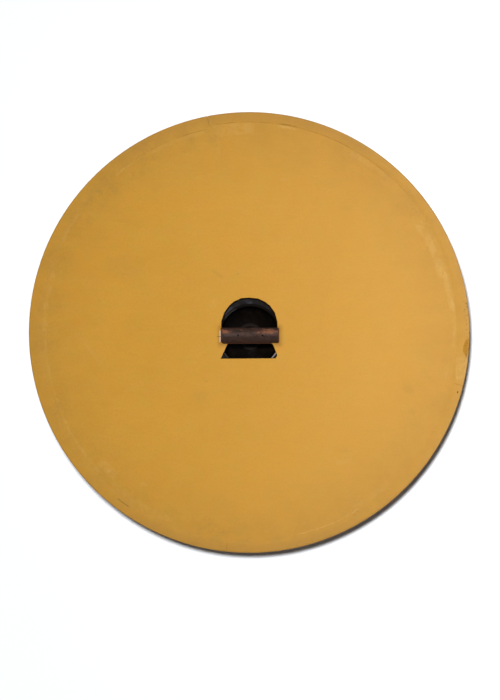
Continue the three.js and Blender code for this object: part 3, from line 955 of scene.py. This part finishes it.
def boss_painted_light(iron, tone):
    """Painted light on the boss: its flange and root lighter, more on their upper side, a lighter ring
    round its flat top, more on its lower side, and painted glints and highlights on the root's edge and
    the flange.
    """
    off_x, off_y = iron.x - BOSS_X, iron.y - BOSS_Y
    off = (off_x * off_x + off_y * off_y) ** 0.5
    uneven = iron.ramp(iron.noise(60, 4, 0.6), 0.35, 0.65)
    flange = iron.ramp(iron.z, FRONT_Z - 0.6 * MM, FRONT_Z - 0.2 * MM)
    upper = iron.ramp(iron.y, GRIP_Y - 4 * MM, GRIP_Y + 4 * MM)
    # Painted light: the flange lighter, most on its upper side.
    lit_flange = flange * (0.15 + 0.75 * upper) * (0.45 + 0.55 * uneven)
    tone = iron.mix(tone, FLANGE_LIGHT, lit_flange)
    # Painted light: the root lighter, more on its upper side.
    root = iron.band(iron.z, FRONT_Z - ROOT_FILLET, FRONT_Z - 1 * MM, 0.6 * MM)
    tone = iron.mix(tone, ROOT_LIGHT, root * (0.3 + 0.5 * upper))
    # Painted light: a lighter ring round the flat top, more on its lower side.
    top = iron.band(off, DISC_R - 2 * MM, DISC_R + STEP_RUN, 1 * MM)
    top = top * (1 - iron.ramp(iron.z, 5 * MM, 8 * MM))
    tone = iron.mix(tone, TOP_RING_LIGHT, top * (1 - 0.6 * upper))
    # Painted glints along the root's edge, in a few sectors.
    edge = iron.band(off, OPENING_R + 0.8 * MM, OPENING_R + 1.6 * MM, 0.4 * MM)
    edge += 0.45 * iron.band(off, OPENING_R + 2.7 * MM, OPENING_R + 3.1 * MM, 0.4 * MM)
    edge *= iron.ramp(iron.z, FRONT_Z - ROOT_FILLET, FRONT_Z - ROOT_FILLET + 1 * MM)
    glints = iron.sector(-50, -34, 6) + 0.12 * iron.sector(124, 146, 8) + 0.14 * iron.sector(212, 232, 6)
    tone = iron.mix(tone, GLINT, edge * glints)
    # Painted highlights on the flange, at the upper left and at the top.
    shine = flange * (iron.sector(130, 140, 8) * 0.7 + iron.sector(88, 95, 5) * 0.6) * uneven
    return iron.mix(tone, SHINE, shine * 0.7)


def facing_out(iron):
    """1 on the outside of the boss, 0 on its inside and under its flange; the outside is coloured paler
    and the inside left darker as painted shade.
    """
    normal = iron.node("TexCoord", output="Normal")
    across, up, along = iron.parts(normal)
    outwards = across * (iron.x - BOSS_X) + up * (iron.y - BOSS_Y) - along * (20 * MM)
    return iron.ramp(outwards, -2 * MM, 4 * MM)


def blackened_iron(name, worn_share, scale, rings=False):
    """Sooty hammered iron; scale is in blotches a metre, and the boss's painted light and shade are
    optional.
    """
    iron = Finish(name, specular_ior_level=0.15)
    patchy = iron.noise(scale, 4, 0.6)
    tone = iron.mix(BLACK_IRON, RUST, iron.ramp(patchy, 0.52, 0.72) * 0.2)
    rubbed = iron.ramp(iron.noise(scale * 2.2, 4, 0.65), 0.5, 0.72) * worn_share
    tone = iron.mix(tone, BARE_IRON, rubbed)
    if rings:
        tone = boss_painted_light(iron, tone)
        # The outside of the boss paler than its inside: the darker inside is painted shade.
        outside = iron.mix(OUTSIDE_DARK, OUTSIDE_PALE, iron.ramp(patchy, 0.45, 0.7))
        tone = iron.mix(tone, outside, facing_out(iron))
    rough = 0.34 + 0.25 * patchy + 0.1 * rubbed
    dents = iron.cells("SMOOTH_F1", scale * 2.4)
    height = dents + iron.noise(scale * 9, 3) * 0.15
    iron.wear(base_color=tone, roughness=rough, metallic=0.5 * rubbed)
    iron.wear(normal=iron.bump(height, 0.5 * MM, 0.35))
    return iron.material


FLOOR_PALE = (0.80, 0.82, 0.85, 1)
FLOOR_DULL = (0.79, 0.81, 0.84, 1)


def floor_finish():
    """A plain pale floor."""
    plain = Finish("pale_floor", roughness=0.9, specular_ior_level=0.1)
    plain.wear(base_color=plain.mix(FLOOR_PALE, FLOOR_DULL, plain.noise(3, 2)))
    return plain.material


# ------------------------------------------------------------------ stage, light and camera

LENS = 800
SENSOR = 36
FRAME_HEIGHT_M = 1.3336
CAMERA_X = 1.35 * MM
CAMERA_Y = -33.4 * MM
LAMP_AWAY = Vector((-0.82, 1.54, 12.0))
SPREAD_AIM = Vector((0.5, 0.03, 0))
SPREAD_REACH = 0.85
FLOOR_HALF = 12
SKY = (0.6, 0.78, 1, 1)


def aimed(kind, name, place, target=(0, 0, 0), **settings):
    """A lamp at a place, turned to face its target."""
    data = bpy.data.lights.new(name, kind)
    for key, value in settings.items():
        setattr(data, key, value)
    lamp = bpy.data.objects.new(name, data)
    lamp.location = place
    lamp.rotation_euler = (Vector(target) - Vector(place)).to_track_quat("-Z", "Y").to_euler()
    bpy.context.scene.collection.objects.link(lamp)
    return lamp


def make_floor():
    bm = bmesh.new()
    bmesh.ops.create_grid(bm, x_segments=1, y_segments=1, size=FLOOR_HALF)
    mesh = bpy.data.meshes.new("floor")
    bm.to_mesh(mesh)
    bm.free()
    floor = bpy.data.objects.new("floor", mesh)
    floor.data.materials.append(floor_finish())
    bpy.context.scene.collection.objects.link(floor)


def make_lights():
    """Two high lamps at the upper left, the second spread over the right half; a softbox on the right
    that gives only the sheen; and an even sky."""
    lamp = aimed("SUN", "high_lamp", LAMP_AWAY, energy=3.76, angle=radians(7))
    spread = aimed(
        "SPOT", "right_lamp", SPREAD_AIM + LAMP_AWAY, SPREAD_AIM, energy=2100, shadow_soft_size=0.5,
        spot_size=2 * atan2(SPREAD_REACH, LAMP_AWAY.length), spot_blend=1.0,
    )
    lamp.visible_glossy = spread.visible_glossy = False
    sheen = aimed(
        "AREA", "right_softbox", (1.5, 0.2, 1.7), energy=30, shape="RECTANGLE", size=1.4, size_y=1.4,
    )
    sheen.visible_diffuse = False
    world = bpy.data.worlds.new("sky")
    world.use_nodes = True
    background = world.node_tree.nodes["Background"]
    background.inputs["Color"].default_value = SKY
    background.inputs["Strength"].default_value = 0.09
    bpy.context.scene.world = world
    bpy.context.scene.view_settings.view_transform = "Standard"


def make_camera():
    """Straight down on the shield, from far off."""
    data = bpy.data.cameras.new("camera")
    data.lens = LENS
    data.sensor_width = SENSOR
    camera = bpy.data.objects.new("camera", data)
    distance = FRAME_HEIGHT_M * LENS / SENSOR
    camera.location = (CAMERA_X, CAMERA_Y, BACK_Z + STRIP_T + distance)
    bpy.context.scene.collection.objects.link(camera)
    bpy.context.scene.camera = camera


# ------------------------------------------------------------------ assembly

make_camera()
make_floor()
make_lights()

paint_on_board = board_paint()
paint_on_hide = hide_paint()
make_board().data.materials.append(paint_on_board)
for strip_node, (start, end, start_width, end_width) in STRIPS.items():
    make_strip(strip_node, start, end, start_width, end_width).data.materials.append(paint_on_hide)

make_wrap().data.materials.append(grip_leather())
make_boss().data.materials.append(blackened_iron("blackened_iron", 0.06, 38, rings=True))

nail_finish = blackened_iron("nail_iron", 0.5, 160)
for number in (1, 2):
    tack = make_nail(f"grip_tack_{number}", f"tack_{number}", 1.8 * MM, 0.9 * MM, 0.8 * MM, 1, 20)
    tack.data.materials.append(nail_finish)
for number in range(1, 7):
    nail = make_nail(f"boss_nail_{number}", f"nail_{number}", 5 * MM, 2.6 * MM, 1.5 * MM, -1, 28)
    nail.data.materials.append(nail_finish)
